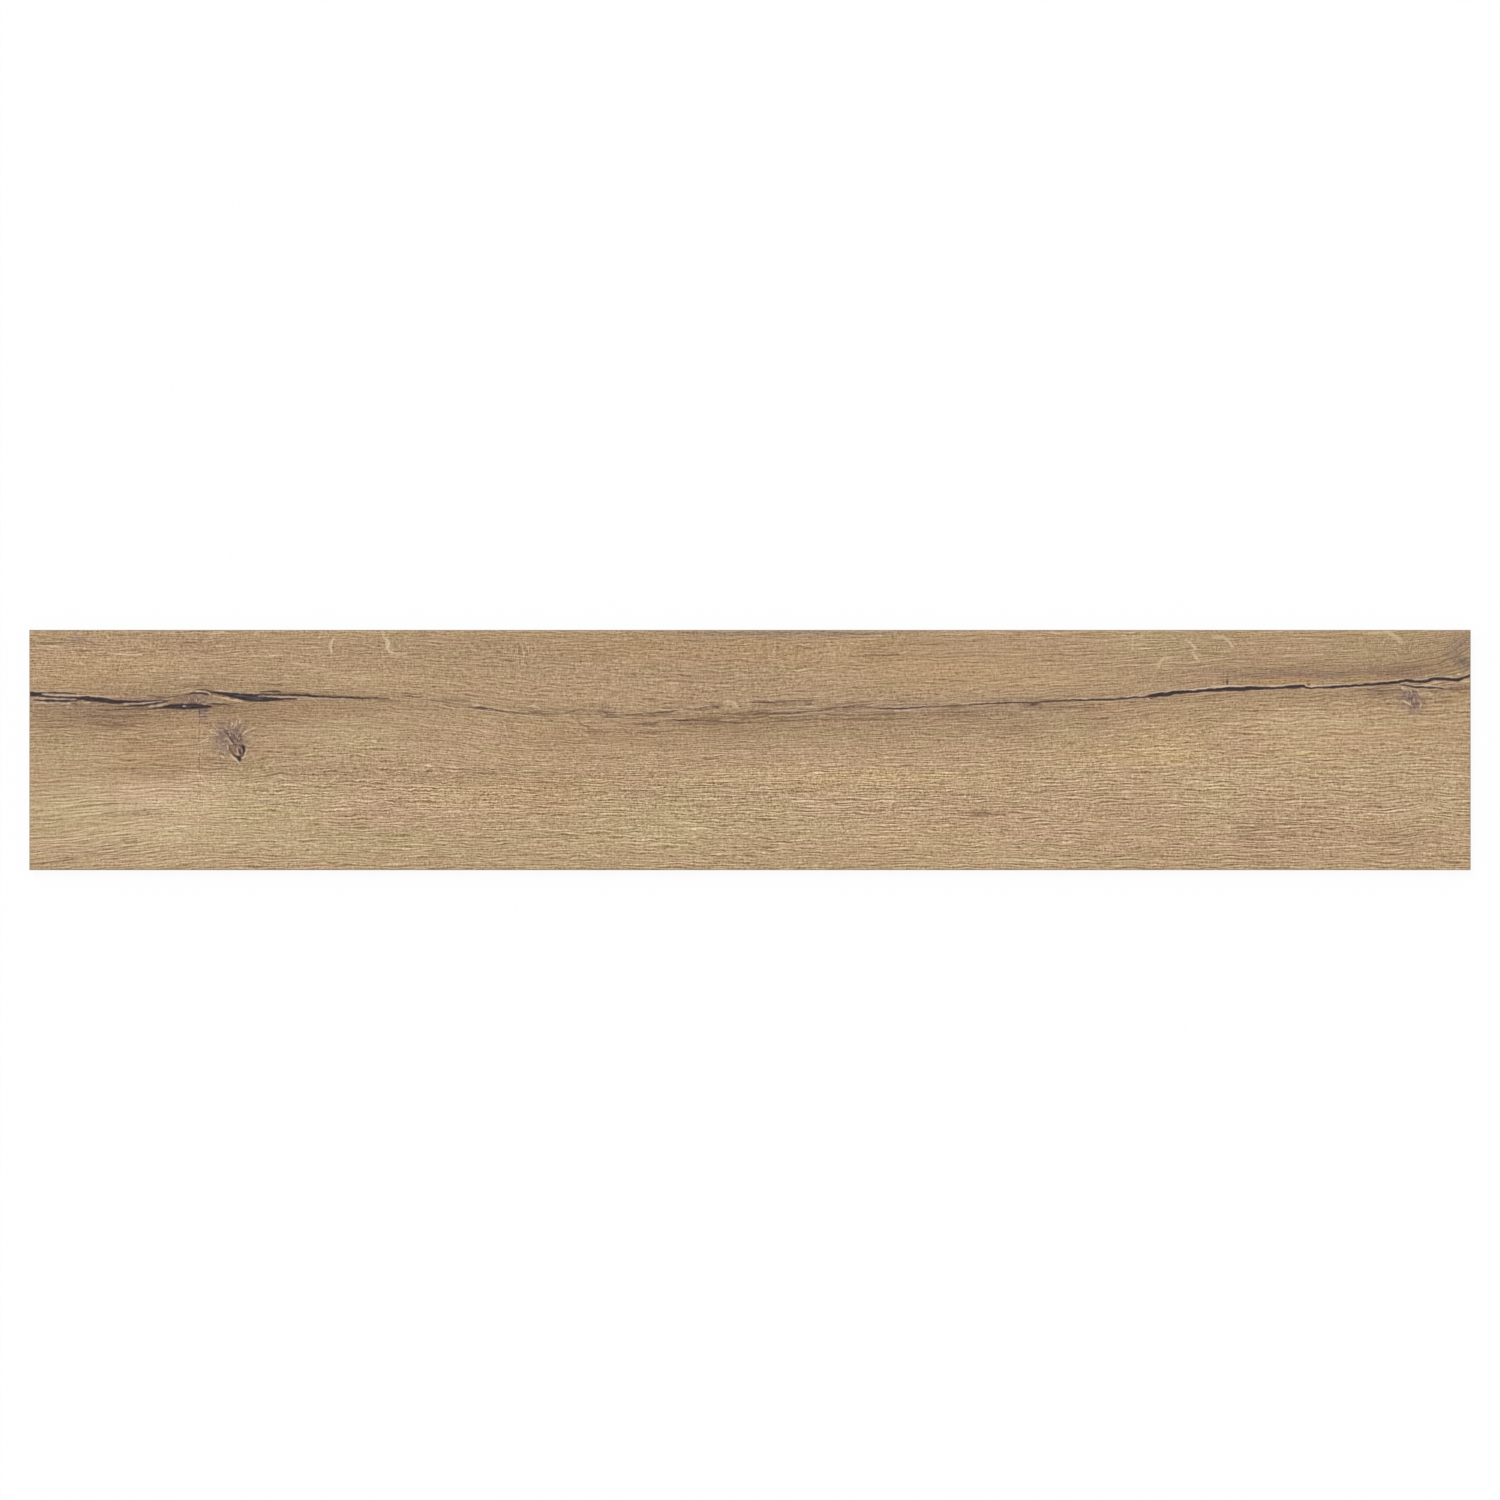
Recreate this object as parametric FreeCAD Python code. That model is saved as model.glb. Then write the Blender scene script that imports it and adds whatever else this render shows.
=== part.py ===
import FreeCAD
import Part
import math
import os

# A rectified porcelain plank tile with a wood look, pressed and fired as one piece.
# Millimetres. The tile lies on its back: its length is along X and its width along Y.
# The face looks up. The origin is the middle of the back, in the plane of the rib tips.

LENGTH = 1200.0
WIDTH = 200.0
THICKNESS = 9.5  # over the face and the rib tips

# The cut edges are ground square, and each arris is eased by a narrow bevel.
FACE_BEVEL = 0.6
BACK_BEVEL = 0.4

# Shallow pockets key the back for the adhesive and leave a lattice of ribs.
# A plain land runs round the lattice, inside the cut edges.
LAND_WIDTH = 9.0
RIB_WIDTH = 3.2
POCKET_DEPTH = 0.8
POCKET_TARGET = 28.0  # a pocket's side, before whole rows and columns are fitted
POCKET_CORNER = 5.0  # cut off each corner in plan, measured along the sides
POCKET_DRAFT = 35.0  # degrees off square, so that the pressed clay lets go of the die

# A pocket's cutter starts this far below the rib tips, so that it leaves no skin.
OVERCUT = 0.5


def at_height(edge, height):
    """Whether an edge lies level at this height."""
    return all(abs(vertex.Z - height) < 1e-6 for vertex in edge.Vertexes)


def eased_slab():
    """The plank at its full outline and thickness, with the arrises of face and back bevelled."""
    corner = FreeCAD.Vector(-LENGTH / 2, -WIDTH / 2, 0)
    slab = Part.makeBox(LENGTH, WIDTH, THICKNESS, corner)
    for height, bevel in ((THICKNESS, FACE_BEVEL), (0, BACK_BEVEL)):
        slab = slab.makeChamfer(bevel, [e for e in slab.Edges if at_height(e, height)])
    return slab


def pocket_row(span):
    """The side of the pockets that fill a span with ribs between them, and their centres."""
    pitch_target = POCKET_TARGET + RIB_WIDTH
    count = max(1, round((span + RIB_WIDTH) / pitch_target))
    pitch = (span + RIB_WIDTH) / count
    return pitch - RIB_WIDTH, [(i - (count - 1) / 2) * pitch for i in range(count)]


def pocket_cutter(side_x, side_y):
    """A block as wide as a pocket's mouth at height 0, drafted to its floor, corners cut off."""
    taper = math.tan(math.radians(POCKET_DRAFT))
    flare = OVERCUT * taper
    inset = POCKET_DEPTH * taper
    low_x, low_y = side_x / 2 + flare, side_y / 2 + flare
    floor_x, floor_y = side_x / 2 - inset, side_y / 2 - inset
    block = Part.makeWedge(
        -low_x, -OVERCUT, -low_y, -floor_y, -floor_x,
        low_x, POCKET_DEPTH, low_y, floor_y, floor_x,
    )
    block.rotate(FreeCAD.Vector(0, 0, 0), FreeCAD.Vector(1, 0, 0), 90)
    corners = [e for e in block.Edges if e.BoundBox.ZLength > POCKET_DEPTH]
    return block.makeChamfer(min(POCKET_CORNER, 0.8 * floor_x, 0.8 * floor_y), corners)


def back_pockets():
    """One cutter for each pocket of the back."""
    side_x, centres_x = pocket_row(LENGTH - 2 * LAND_WIDTH)
    side_y, centres_y = pocket_row(WIDTH - 2 * LAND_WIDTH)
    cutter = pocket_cutter(side_x, side_y)
    return [cutter.translated(FreeCAD.Vector(x, y, 0)) for x in centres_x for y in centres_y]


plank_tile = eased_slab().cut(back_pockets())
os.makedirs("parts", exist_ok=True)
plank_tile.exportStep("parts/plank_tile.step")
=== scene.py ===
import bpy
import bmesh
import numpy as np
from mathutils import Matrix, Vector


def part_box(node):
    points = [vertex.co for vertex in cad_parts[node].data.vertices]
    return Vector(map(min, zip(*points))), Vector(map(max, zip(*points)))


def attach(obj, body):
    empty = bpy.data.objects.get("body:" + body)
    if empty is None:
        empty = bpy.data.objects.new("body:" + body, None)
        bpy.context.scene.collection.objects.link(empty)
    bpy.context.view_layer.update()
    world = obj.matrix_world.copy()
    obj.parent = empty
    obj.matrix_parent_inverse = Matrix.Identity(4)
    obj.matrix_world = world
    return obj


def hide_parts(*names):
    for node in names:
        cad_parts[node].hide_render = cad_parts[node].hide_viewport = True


# A porcelain plank tile with a wood look: one fired piece, with a matt face that is pressed and
# printed like a split and knotted oak board, ground edges and a pocketed back.
# Metres, except that what is drawn on the face is placed in millimetres from its middle,
# x along the plank and y across it, as the camera sees it.

MM = 0.001

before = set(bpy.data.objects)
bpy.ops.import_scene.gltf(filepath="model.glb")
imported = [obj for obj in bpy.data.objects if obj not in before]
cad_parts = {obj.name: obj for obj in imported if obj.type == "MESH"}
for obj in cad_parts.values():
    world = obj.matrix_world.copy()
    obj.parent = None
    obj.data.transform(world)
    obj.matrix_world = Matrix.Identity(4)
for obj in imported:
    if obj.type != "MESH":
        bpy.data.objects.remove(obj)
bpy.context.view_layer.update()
LOW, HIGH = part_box("plank_tile")
LENGTH = HIGH.x - LOW.x
WIDTH = HIGH.y - LOW.y
THICKNESS = HIGH.z - LOW.z

FACE_BEVEL = 0.6 * MM
SPLIT_DEPTH = 0.42 * MM
SPLIT_WALL = 0.8 * MM  # a groove reaches its full depth this far inside its lip
SEAM_DEPTH = 0.16 * MM
RING_RELIEF = 0.07 * MM
WAVE_RELIEF = 0.05 * MM

# The camera looks straight down, and the frame is this wide at the face.
FRAME_WIDTH = 1.2487
LENS = 100.0
SENSOR = 36.0

# The light that falls on an upward face, in parts of the plain level.
SKY_LIGHT = 0.72
KEY_LIGHT = 0.3
KEY_ELEVATION = 52.0
KEY_AZIMUTH = 125.0
KEY_SOFTNESS = 35.0

# The floor is seen as plain white, but for a small share that keeps a faint shadow.
FLOOR_HALF = 15.0
FLOOR_DROP = 0.1 * MM
FLOOR_PAPER = 0.93
FLOOR_GLOW = 0.92


# Tones

def tone(red, green, blue):
    """A colour out of 255, as the screen shows it, in the linear values that Blender works with."""
    channels = np.array((red, green, blue)) / 255
    curved = ((channels + 0.055) / 1.055) ** 2.4
    return tuple(np.where(channels < 0.04045, channels / 12.92, curved))


OAK = tone(178, 151, 119)
WOOD_TONES = {
    "cream": tone(196, 171, 138),
    "straw": tone(190, 163, 122),
    "amber": tone(187, 152, 112),
    "rose": tone(182, 150, 123),
    "olive": tone(168, 148, 113),
    "lichen": tone(183, 161, 125),
    "umber": tone(154, 126, 97),
    "mauve": tone(152, 128, 113),
    "slate": tone(120, 108, 108),
}


# What is drawn on the face

KNOT_X, KNOT_Y = -427.0, 0.0

# The line that the splits and the seams follow, and the y that it is straightened to.
SEAM_LINE = [
    (-600, 42.5), (-520, 41), (-470, 41.5), (-420, 43), (-300, 43), (-235, 37), (-180, 31),
    (-100, 28.5), (-60, 28), (0, 29), (60, 32), (150, 36), (250, 39.5), (300, 42), (345, 46),
    (400, 50.5), (460, 52), (530, 54.5), (600, 58.5),
]
SEAM_LEVEL = 41

# Lists of strands, each a run of points: x, y and the width there.
# The splits are open gaps: the left ones, the knot's, the ones between and the right one.
SPLITS = [
    [(-600, 46.6, 3.6), (-591, 46.5, 3), (-588, 46.2, 1.6)],
    [(-591, 47.7, 1.2), (-578.3, 47.5, 1.3), (-568.8, 47.3, 1.2), (-561, 46.8, 0.8)],
    [(-591, 45.1, 1.5), (-578.3, 43.9, 1.5), (-568.8, 43.5, 1.5), (-556, 43.1, 1.6)],
    [(-596.1, 41.7, 0.8), (-587.9, 41.2, 1.5), (-578.3, 40.9, 1.9), (-568.8, 41, 1.8),
     (-562.4, 41.4, 1.6), (-556.7, 42.3, 1.4)],
    [(-557, 43.2, 2.6), (-552, 43, 3.8), (-547.7, 42.3, 4.3), (-538, 41.5, 4.1),
     (-532, 40.4, 3.6), (-523.6, 40.1, 3.1), (-514, 40.1, 2.3), (-504.4, 40.5, 1.4),
     (-489.9, 41.2, 1), (-483.5, 41, 0.5)],
    [(-526, 36, 0.5), (-514, 36.7, 1.3), (-505.8, 37.1, 1.8), (-499.5, 38, 1.8),
     (-493, 39.2, 1.4), (-485, 40.1, 0.8)],
    [(-497, 34.7, 0.8), (-489, 35.4, 2), (-483.6, 36, 3.5), (-477.2, 36.1, 4.6),
     (-467.6, 36.2, 4.9), (-459, 36.4, 4.5), (-454, 36.1, 3.1), (-448.5, 35.9, 1.5)],
    [(-448.5, 38.2, 0.8), (-442.1, 38.1, 1.2), (-437, 37.5, 1), (-429.4, 37.1, 0.5)],
    [(-466, 46.8, 1.2), (-458.1, 47.3, 1.9), (-452.9, 46.3, 1.9), (-451, 45.8, 1.3)],
    [(-452.6, 49.6, 0.8), (-449, 48.2, 1.4), (-445.7, 47.6, 2.4), (-440.6, 47.2, 2.4),
     (-433.7, 46.1, 3.7), (-426.2, 45, 4.8), (-420, 44, 6.2), (-411.4, 43.1, 6),
     (-403, 42.1, 4), (-394.3, 42.3, 2.7), (-385.7, 42.4, 1.7), (-377, 42.8, 0.8)],
    [(-421, 46.6, 0.9), (-409, 46.2, 1.1), (-395.1, 46, 1.5), (-382.3, 45.7, 1.7),
     (-369.7, 45.2, 2.2), (-366.5, 45.1, 2.4), (-360.1, 44.6, 1.4), (-350.5, 44.2, 1.3),
     (-341, 43.6, 1.6), (-326.3, 43.5, 1.9), (-323.7, 43, 1.3), (-309.9, 43.3, 0.9),
     (-300, 42.6, 0.5)],
    [(-408, 48.3, 0.7), (-398.3, 48.7, 1.1), (-393.2, 48.9, 1.4), (-390, 48.1, 0.7)],
    [(-422.6, 4, 1.2), (-421.6, 2, 2.8), (-421.1, -0.4, 2.3), (-421.9, -3.4, 1.1)],
    [(-425.7, 0.2, 0.8), (-424.9, -1.2, 1.6), (-424.2, -2.6, 2)],
    [(-428.4, -4.8, 1.1), (-426.4, -6.1, 2.4), (-425.2, -7.1, 3.4), (-424.7, -8.8, 1.5)],
    [(-433.6, 10.6, 0.6), (-431.6, 7.8, 1), (-430.4, 6.2, 0.8)],
    [(-228, 35.3, 0.6), (-222, 34.9, 1.2), (-218.5, 34.6, 0.8)],
    [(-82.2, 30.6, 0.5), (-72, 31.6, 0.7), (-67.6, 31.9, 0.6)],
    [(-63.8, 25.4, 0.8), (-58.1, 24.6, 1.2), (-52, 24.8, 1), (-47, 24.9, 0.7)],
    [(108, 34.5, 0.7), (124, 34.5, 1.2), (137, 35.1, 1.1), (146, 35.6, 0.6)],
    [(186, 37.9, 0.5), (197, 38.7, 0.8), (213.6, 39.4, 0.9), (228.7, 39.6, 0.9), (240.8, 39.9, 0.9),
     (256.1, 40.9, 1), (265, 41.6, 1.1)],
    [(265, 41.6, 1.1), (278, 41.4, 1.4), (291.2, 41.7, 1.5), (300, 41.9, 1.5), (307, 42.6, 1.4),
     (320.3, 43.7, 1.3), (330.3, 44.3, 1.2), (333, 44.9, 2), (337, 45.4, 3), (342, 46.2, 3.6),
     (347, 46.3, 3.4), (352.8, 47.6, 2.8), (362.8, 48.2, 2.3), (373.2, 48.9, 2.2),
     (381.9, 49.7, 2.6), (393.6, 50.4, 2.8), (403.6, 50.7, 3.3), (411.9, 50.9, 3.2),
     (417.7, 51.6, 3), (431.6, 51.4, 2.3), (441.8, 51.9, 1.9), (450.7, 52.5, 2.7),
     (460.6, 53.1, 2.7), (463, 51.9, 1.7), (467, 51.5, 1.3), (473.5, 51.7, 1.2),
     (483.1, 52.2, 1.9), (492.6, 52.7, 2), (513.8, 54.2, 2), (529.7, 55.5, 2.4),
     (539.2, 56.6, 2.1), (546.2, 57.8, 2.2), (551, 57.4, 2.2), (558.6, 56.6, 2.3),
     (564.2, 57.4, 2.3), (568.4, 59, 2.1), (577.5, 59.2, 2.7), (586, 58.4, 2.9),
     (591, 58.7, 2.6), (595.4, 60.3, 1.9), (600, 62.3, 2.1)],
    [(541, 54.2, 0.7), (549.7, 53.2, 1.2), (557, 52.3, 1.6), (565, 52, 1.4), (577, 51, 0.8)],
]

# The seams are closed and filled: dark brown to purple.
SEAMS = [
    [(-536, 33.3, 1.2), (-527.3, 33.7, 1.2), (-514.6, 34, 1.3), (-494, 34.7, 1.3)],
    [(-499.5, 43.8, 0.7), (-489.9, 44.1, 1), (-480.3, 44.4, 1), (-474, 45.1, 1.1),
     (-465, 46.9, 1)],
    [(-465, 49.4, 0.6), (-459, 50.4, 1), (-452.5, 50.2, 0.8)],
    [(-288.3, 45.4, 0.6), (-283.3, 45.2, 0.8), (-278.1, 44, 0.9), (-273, 43.1, 0.6)],
    [(-265.4, 40.5, 0.4), (-259.6, 40.3, 0.6), (-247.5, 40.5, 0.5), (-238.6, 39.5, 0.7),
     (-230.8, 38.2, 0.9)],
    [(-235, 35.8, 1.2), (-228, 35.3, 1.6), (-219, 34.5, 1.5), (-211.7, 33.2, 1.2),
     (-203, 31.7, 1), (-194, 31.3, 0.9)],
    [(-196.7, 30, 0.6), (-188, 30, 0.9), (-178, 30.4, 1.1), (-168, 29.8, 0.9),
     (-160, 30, 0.6)],
    [(-127, 33.2, 0.5), (-121.5, 31.4, 0.6), (-118, 29.9, 1.3), (-113.5, 29.8, 0.7)],
    [(-121, 27.4, 0.5), (-115, 27.2, 0.6), (-108, 28.2, 0.6), (-98, 29.3, 0.7), (-88, 30.3, 1),
     (-78, 31, 1.1), (-67.6, 31.8, 1.1), (-60, 32.8, 0.7)],
    [(-67, 33.6, 0.5), (-58, 34.4, 0.6), (-49, 34.9, 0.5)],
    [(-70, 25.3, 0.8), (-58.1, 24.7, 1.4), (-46, 24.7, 1.2), (-34, 24.2, 1.1), (-22, 23.8, 1),
     (-12, 22.7, 0.9)],
    [(-41.5, 34.8, 1.7), (-35, 35.7, 1.3), (-26.5, 35.8, 1.8)],
    [(-9.5, 36.1, 0.9), (-6.5, 36.3, 1)],
    [(-20, 30, 0.9), (-10, 30.3, 0.9), (-5, 29.2, 1), (6.2, 30.4, 1.5), (17, 30.3, 1.4),
     (26, 30.1, 1.2), (36, 31, 1.6), (48, 32.2, 1.4), (58, 32.9, 1.1), (66, 34.2, 1.3),
     (74, 35.2, 0.9), (82, 35.9, 0.9), (92, 35.9, 1.1), (100, 35.6, 1.1), (110, 34.6, 1.2),
     (137, 35.1, 1.4), (150, 36, 1.2), (167.1, 37, 1.2), (178, 37.3, 1.3), (197, 38.7, 1.4),
     (213.6, 39.4, 1.5), (228.7, 39.6, 1.5), (240.8, 39.9, 1.5), (256.1, 40.9, 1.4),
     (266, 41.6, 1.4)],
    [(2, 39.5, 1.1), (16, 39.7, 1.3), (28.5, 40.4, 1), (44, 41, 1.1), (51.9, 41.5, 1.6)],
    [(44, 38.4, 0.8), (51, 38.3, 1.8)],
    [(231.5, 39.4, 1.2), (235, 38, 2.6), (239.5, 39.2, 1.2)],
    [(397.2, 59, 0.8), (397.4, 57.2, 2.2), (397.3, 54.4, 1.6)],
    [(332, 43.4, 0.8), (334.8, 42.8, 1.6)],
    [(464.6, 54.9, 1.8), (465.6, 55, 1.8)],
    [(549, 50.7, 1.4), (552.2, 49.2, 1.2)],
    [(-433.8, 3.6, 1.2), (-432.4, -0.6, 1.6), (-430, -3.8, 1.9), (-427.1, -6.2, 1.9)],
    [(-432.6, 3.9, 0.9), (-428.4, 4.2, 1.3), (-424.4, 3.6, 1.6), (-422.4, 2.6, 2)],
    [(-422.8, -3.6, 2), (-424.2, -5.6, 2.2), (-425, -7.4, 1.6)],
    [(-435.9, 17, 0.9), (-433.9, 11.6, 1.3), (-431.2, 7.4, 1.5), (-429.6, 5.4, 1.1)],
    [(-436.4, 14.4, 0.8), (-430.8, 13, 0.9), (-427.4, 9.8, 1.2), (-426.2, 6.8, 1)],
    [(-425, 16.4, 0.8), (-424, 11.2, 1.2), (-423.6, 8, 0.8)],
    [(-439.6, 20, 0.8), (-437, 17, 1), (-434.4, 15.8, 0.8)],
    [(-458.4, 33.5, 1.3), (-458.2, 31, 1.8), (-458.3, 27.5, 0.9)],
    [(-453.6, 33.5, 0.7), (-453.7, 27, 0.7)],
]

# The traces are fainter: brown hairs, stains and scratches.
TRACES = [
    [(-458.2, 30, 0.6), (-458.6, 8, 0.6), (-458.2, -12, 0.5), (-458.6, -34, 0.4)],
    [(-310, 41, 0.8), (-292, 40.2, 0.9)],
    [(-321.5, 38.5, 0.6), (-303.6, 40.2, 0.8)],
    [(-284.5, 37, 0.7), (-278, 34.2, 0.9), (-268.5, 33.2, 0.8)],
    [(-475, 52.5, 1), (-461, 53.9, 1.8), (-447, 52.8, 1)],
    [(-548, 27.4, 0.8), (-520, 28.8, 1.4), (-500, 29, 0.9)],
    [(-554, 22, 0.8), (-534, 20.8, 1.4), (-512, 20.6, 0.9)],
    [(-212, 33, 0.8), (-196, 31.3, 1), (-180, 31, 0.8), (-160, 30, 0.8), (-126, 29.8, 0.7)],
    [(-178, 34.4, 0.5), (-168, 33.7, 0.6)],
    [(-155, 30.4, 0.6), (-147, 32.2, 0.9), (-139, 34.4, 0.6)],
    [(-133, 36.2, 0.5), (-122, 36.3, 0.8), (-114, 35.4, 0.5)],
    [(-149.5, 29.4, 0.6), (-145, 24.6, 0.9), (-138, 20.2, 1.4), (-130, 17.2, 1.3),
     (-124, 16.2, 0.7)],
    [(-95, 21.2, 0.8), (-86, 21.3, 2.2), (-80, 21.8, 1.7), (-76, 23.8, 0.7)],
    [(-138, 15.2, 0.8), (-128.4, 15, 1.1), (-112, 15, 0.9)],
    [(-168, 23.6, 0.8), (-166.4, 25.2, 1), (-164, 24.4, 0.8)],
    [(-44, 27.2, 0.8), (-20, 26.8, 1.1), (4, 27, 0.9)],
    [(-66, 20.4, 0.8), (-44, 21.4, 1), (-26, 21.6, 0.8)],
    [(-36, 30.4, 0.8), (-20, 30, 1)],
    [(-8, 25.2, 1), (6, 27.4, 1.2), (22, 27.6, 1), (46, 28, 1), (56, 28.6, 0.8)],
    [(63, 30, 1.2), (80.6, 28.8, 1.5), (101.6, 29.4, 1.3), (128, 31.4, 1)],
    [(-12, 22.8, 1.3), (12, 23.2, 1.5), (30, 24.2, 1.4), (46, 25.2, 1.6), (70, 25.6, 1.6),
     (100, 25.7, 1.5), (130, 26.2, 1.1)],
    [(-95, 14.4, 0.8), (-82.2, 14.3, 1.2), (-75, 15, 0.7)],
    [(80, 39.8, 0.9), (92, 39.9, 1.2), (104, 40.2, 0.8)],
    [(112, 41.8, 0.8), (129, 40.6, 0.9)],
    [(155.5, 31.4, 0.8), (178, 31.4, 1), (190, 31.5, 1)],
    [(144.6, 28.8, 0.8), (192.5, 28.7, 0.9), (201, 26, 0.7)],
    [(232, 36.3, 0.7), (262, 35.4, 1), (292.4, 35.1, 1)],
    [(266, 36, 0.9), (285, 38.2, 0.9), (300, 36.4, 1)],
    [(311, 40.4, 1), (318, 39.6, 1.4), (322, 39.8, 0.8)],
    [(397.6, 67, 0.6), (397.4, 59, 1.1)],
    [(393.9, 67, 0.6), (394, 54, 0.8)],
    [(576, 50.8, 1.2), (590, 50.7, 1.6), (600, 50.4, 1.8)],
    [(514, 50, 1.2), (523, 49.2, 2), (532, 49.6, 1.8), (543, 50, 1.2)],
    [(552, 68.5, 0.6), (572, 71.5, 0.9), (588, 78, 1), (600, 86, 0.8)],
    [(556, 73.5, 0.6), (574, 77, 0.9), (588, 84, 0.9), (598, 93, 0.7)],
    [(562, 79, 0.6), (577, 83.5, 0.8), (590, 92, 0.8)],
    [(566, 66.5, 0.6), (584, 70, 0.9), (600, 77.5, 1)],
    [(574, 64, 0.6), (590, 67, 0.8), (600, 71.5, 0.8)],
    [(523, 46.8, 0.8), (535, 46.9, 1.1)],
    [(96.4, 79.2, 1), (108, 79, 1.8), (124.7, 79.4, 1)],
    [(84, 78.2, 0.7), (100, 77.6, 0.9)],
    [(179.6, -52, 0.9), (192, -52.6, 1.7), (207, -53.8, 0.9)],
    [(183, -54.8, 1.2), (198, -54.7, 1)],
    [(-39.3, -7.1, 0.8), (-26, -7.3, 1)],
    [(-408.5, -42.4, 0.9), (-402, -42.2, 1.4), (-397.5, -42.3, 0.8)],
    [(-434, -38.3, 0.8), (-425.9, -38.2, 1)],
    [(-412.7, -33.8, 0.7), (-401.6, -33.6, 0.9)],
    [(-405, -45.8, 0.7), (-388, -44.6, 0.8), (-371, -42.8, 0.7)],
    [(-540, -52.3, 0.8), (-512, -50.8, 1), (-484, -48.6, 0.8)],
    [(-533, -55.4, 0.7), (-506, -53.6, 0.8), (-478, -51.7, 0.8)],
    [(-550, -45.4, 0.7), (-526, -44.4, 0.8)],
    [(-181, -72.6, 0.7), (-142.6, -72.4, 0.9)],
    [(-599, -95, 1), (-580, -93.2, 1.3), (-559, -90.4, 1)],
    [(-526, -77, 0.8), (-510, -75.5, 1.1)],
    [(-489, -65.4, 0.8), (-482, -68.4, 1.2), (-476, -66.6, 0.7)],
    [(-588, -58.8, 0.8), (-573, -57.4, 1.1)],
    [(-309, 89.6, 1.4), (-304.6, 89.2, 1.8)],
    [(-346.2, 91, 0.6), (-346.4, 86, 0.9), (-346.8, 80.5, 0.6)],
    [(400.3, -61.2, 0.7), (430, -61.4, 0.9), (455, -62, 0.8)],
    [(406, -68.8, 0.7), (440, -70.3, 0.9), (470.8, -71.7, 0.7)],
    [(-593, 88.9, 0.9), (-571.3, 88.9, 1)],
    [(-562.1, 82.2, 1), (-553.8, 82.3, 1.2)],
    [(-553.6, 91.1, 1), (-540.8, 87.3, 1)],
    [(-553.8, 78.7, 0.7), (-533, 78.5, 0.8)],
    [(-474.7, 89, 0.9), (-465.4, 89.6, 1.6), (-457, 89.9, 0.8)],
    [(-404.2, 55.3, 0.9), (-389.8, 54.1, 1)],
    [(-462, 82.6, 0.7), (-446.7, 81.8, 0.8)],
    [(174, -19.8, 1), (181.4, -18, 1.2)],
    [(-420.3, 13.4, 0.7), (-416.5, 15, 0.8), (-412.2, 15.9, 0.7)],
    [(-405.5, 19.9, 1), (-403.5, 19.9, 1.1)],
    [(-441.1, -3, 0.8), (-441, -8, 1)],
    [(-440.4, -10.5, 0.8), (-439.4, -14.5, 0.7)],
    [(-398, -25.3, 0.6), (-391.5, -23.9, 0.9), (-386, -25.2, 0.6)],
]

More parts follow.
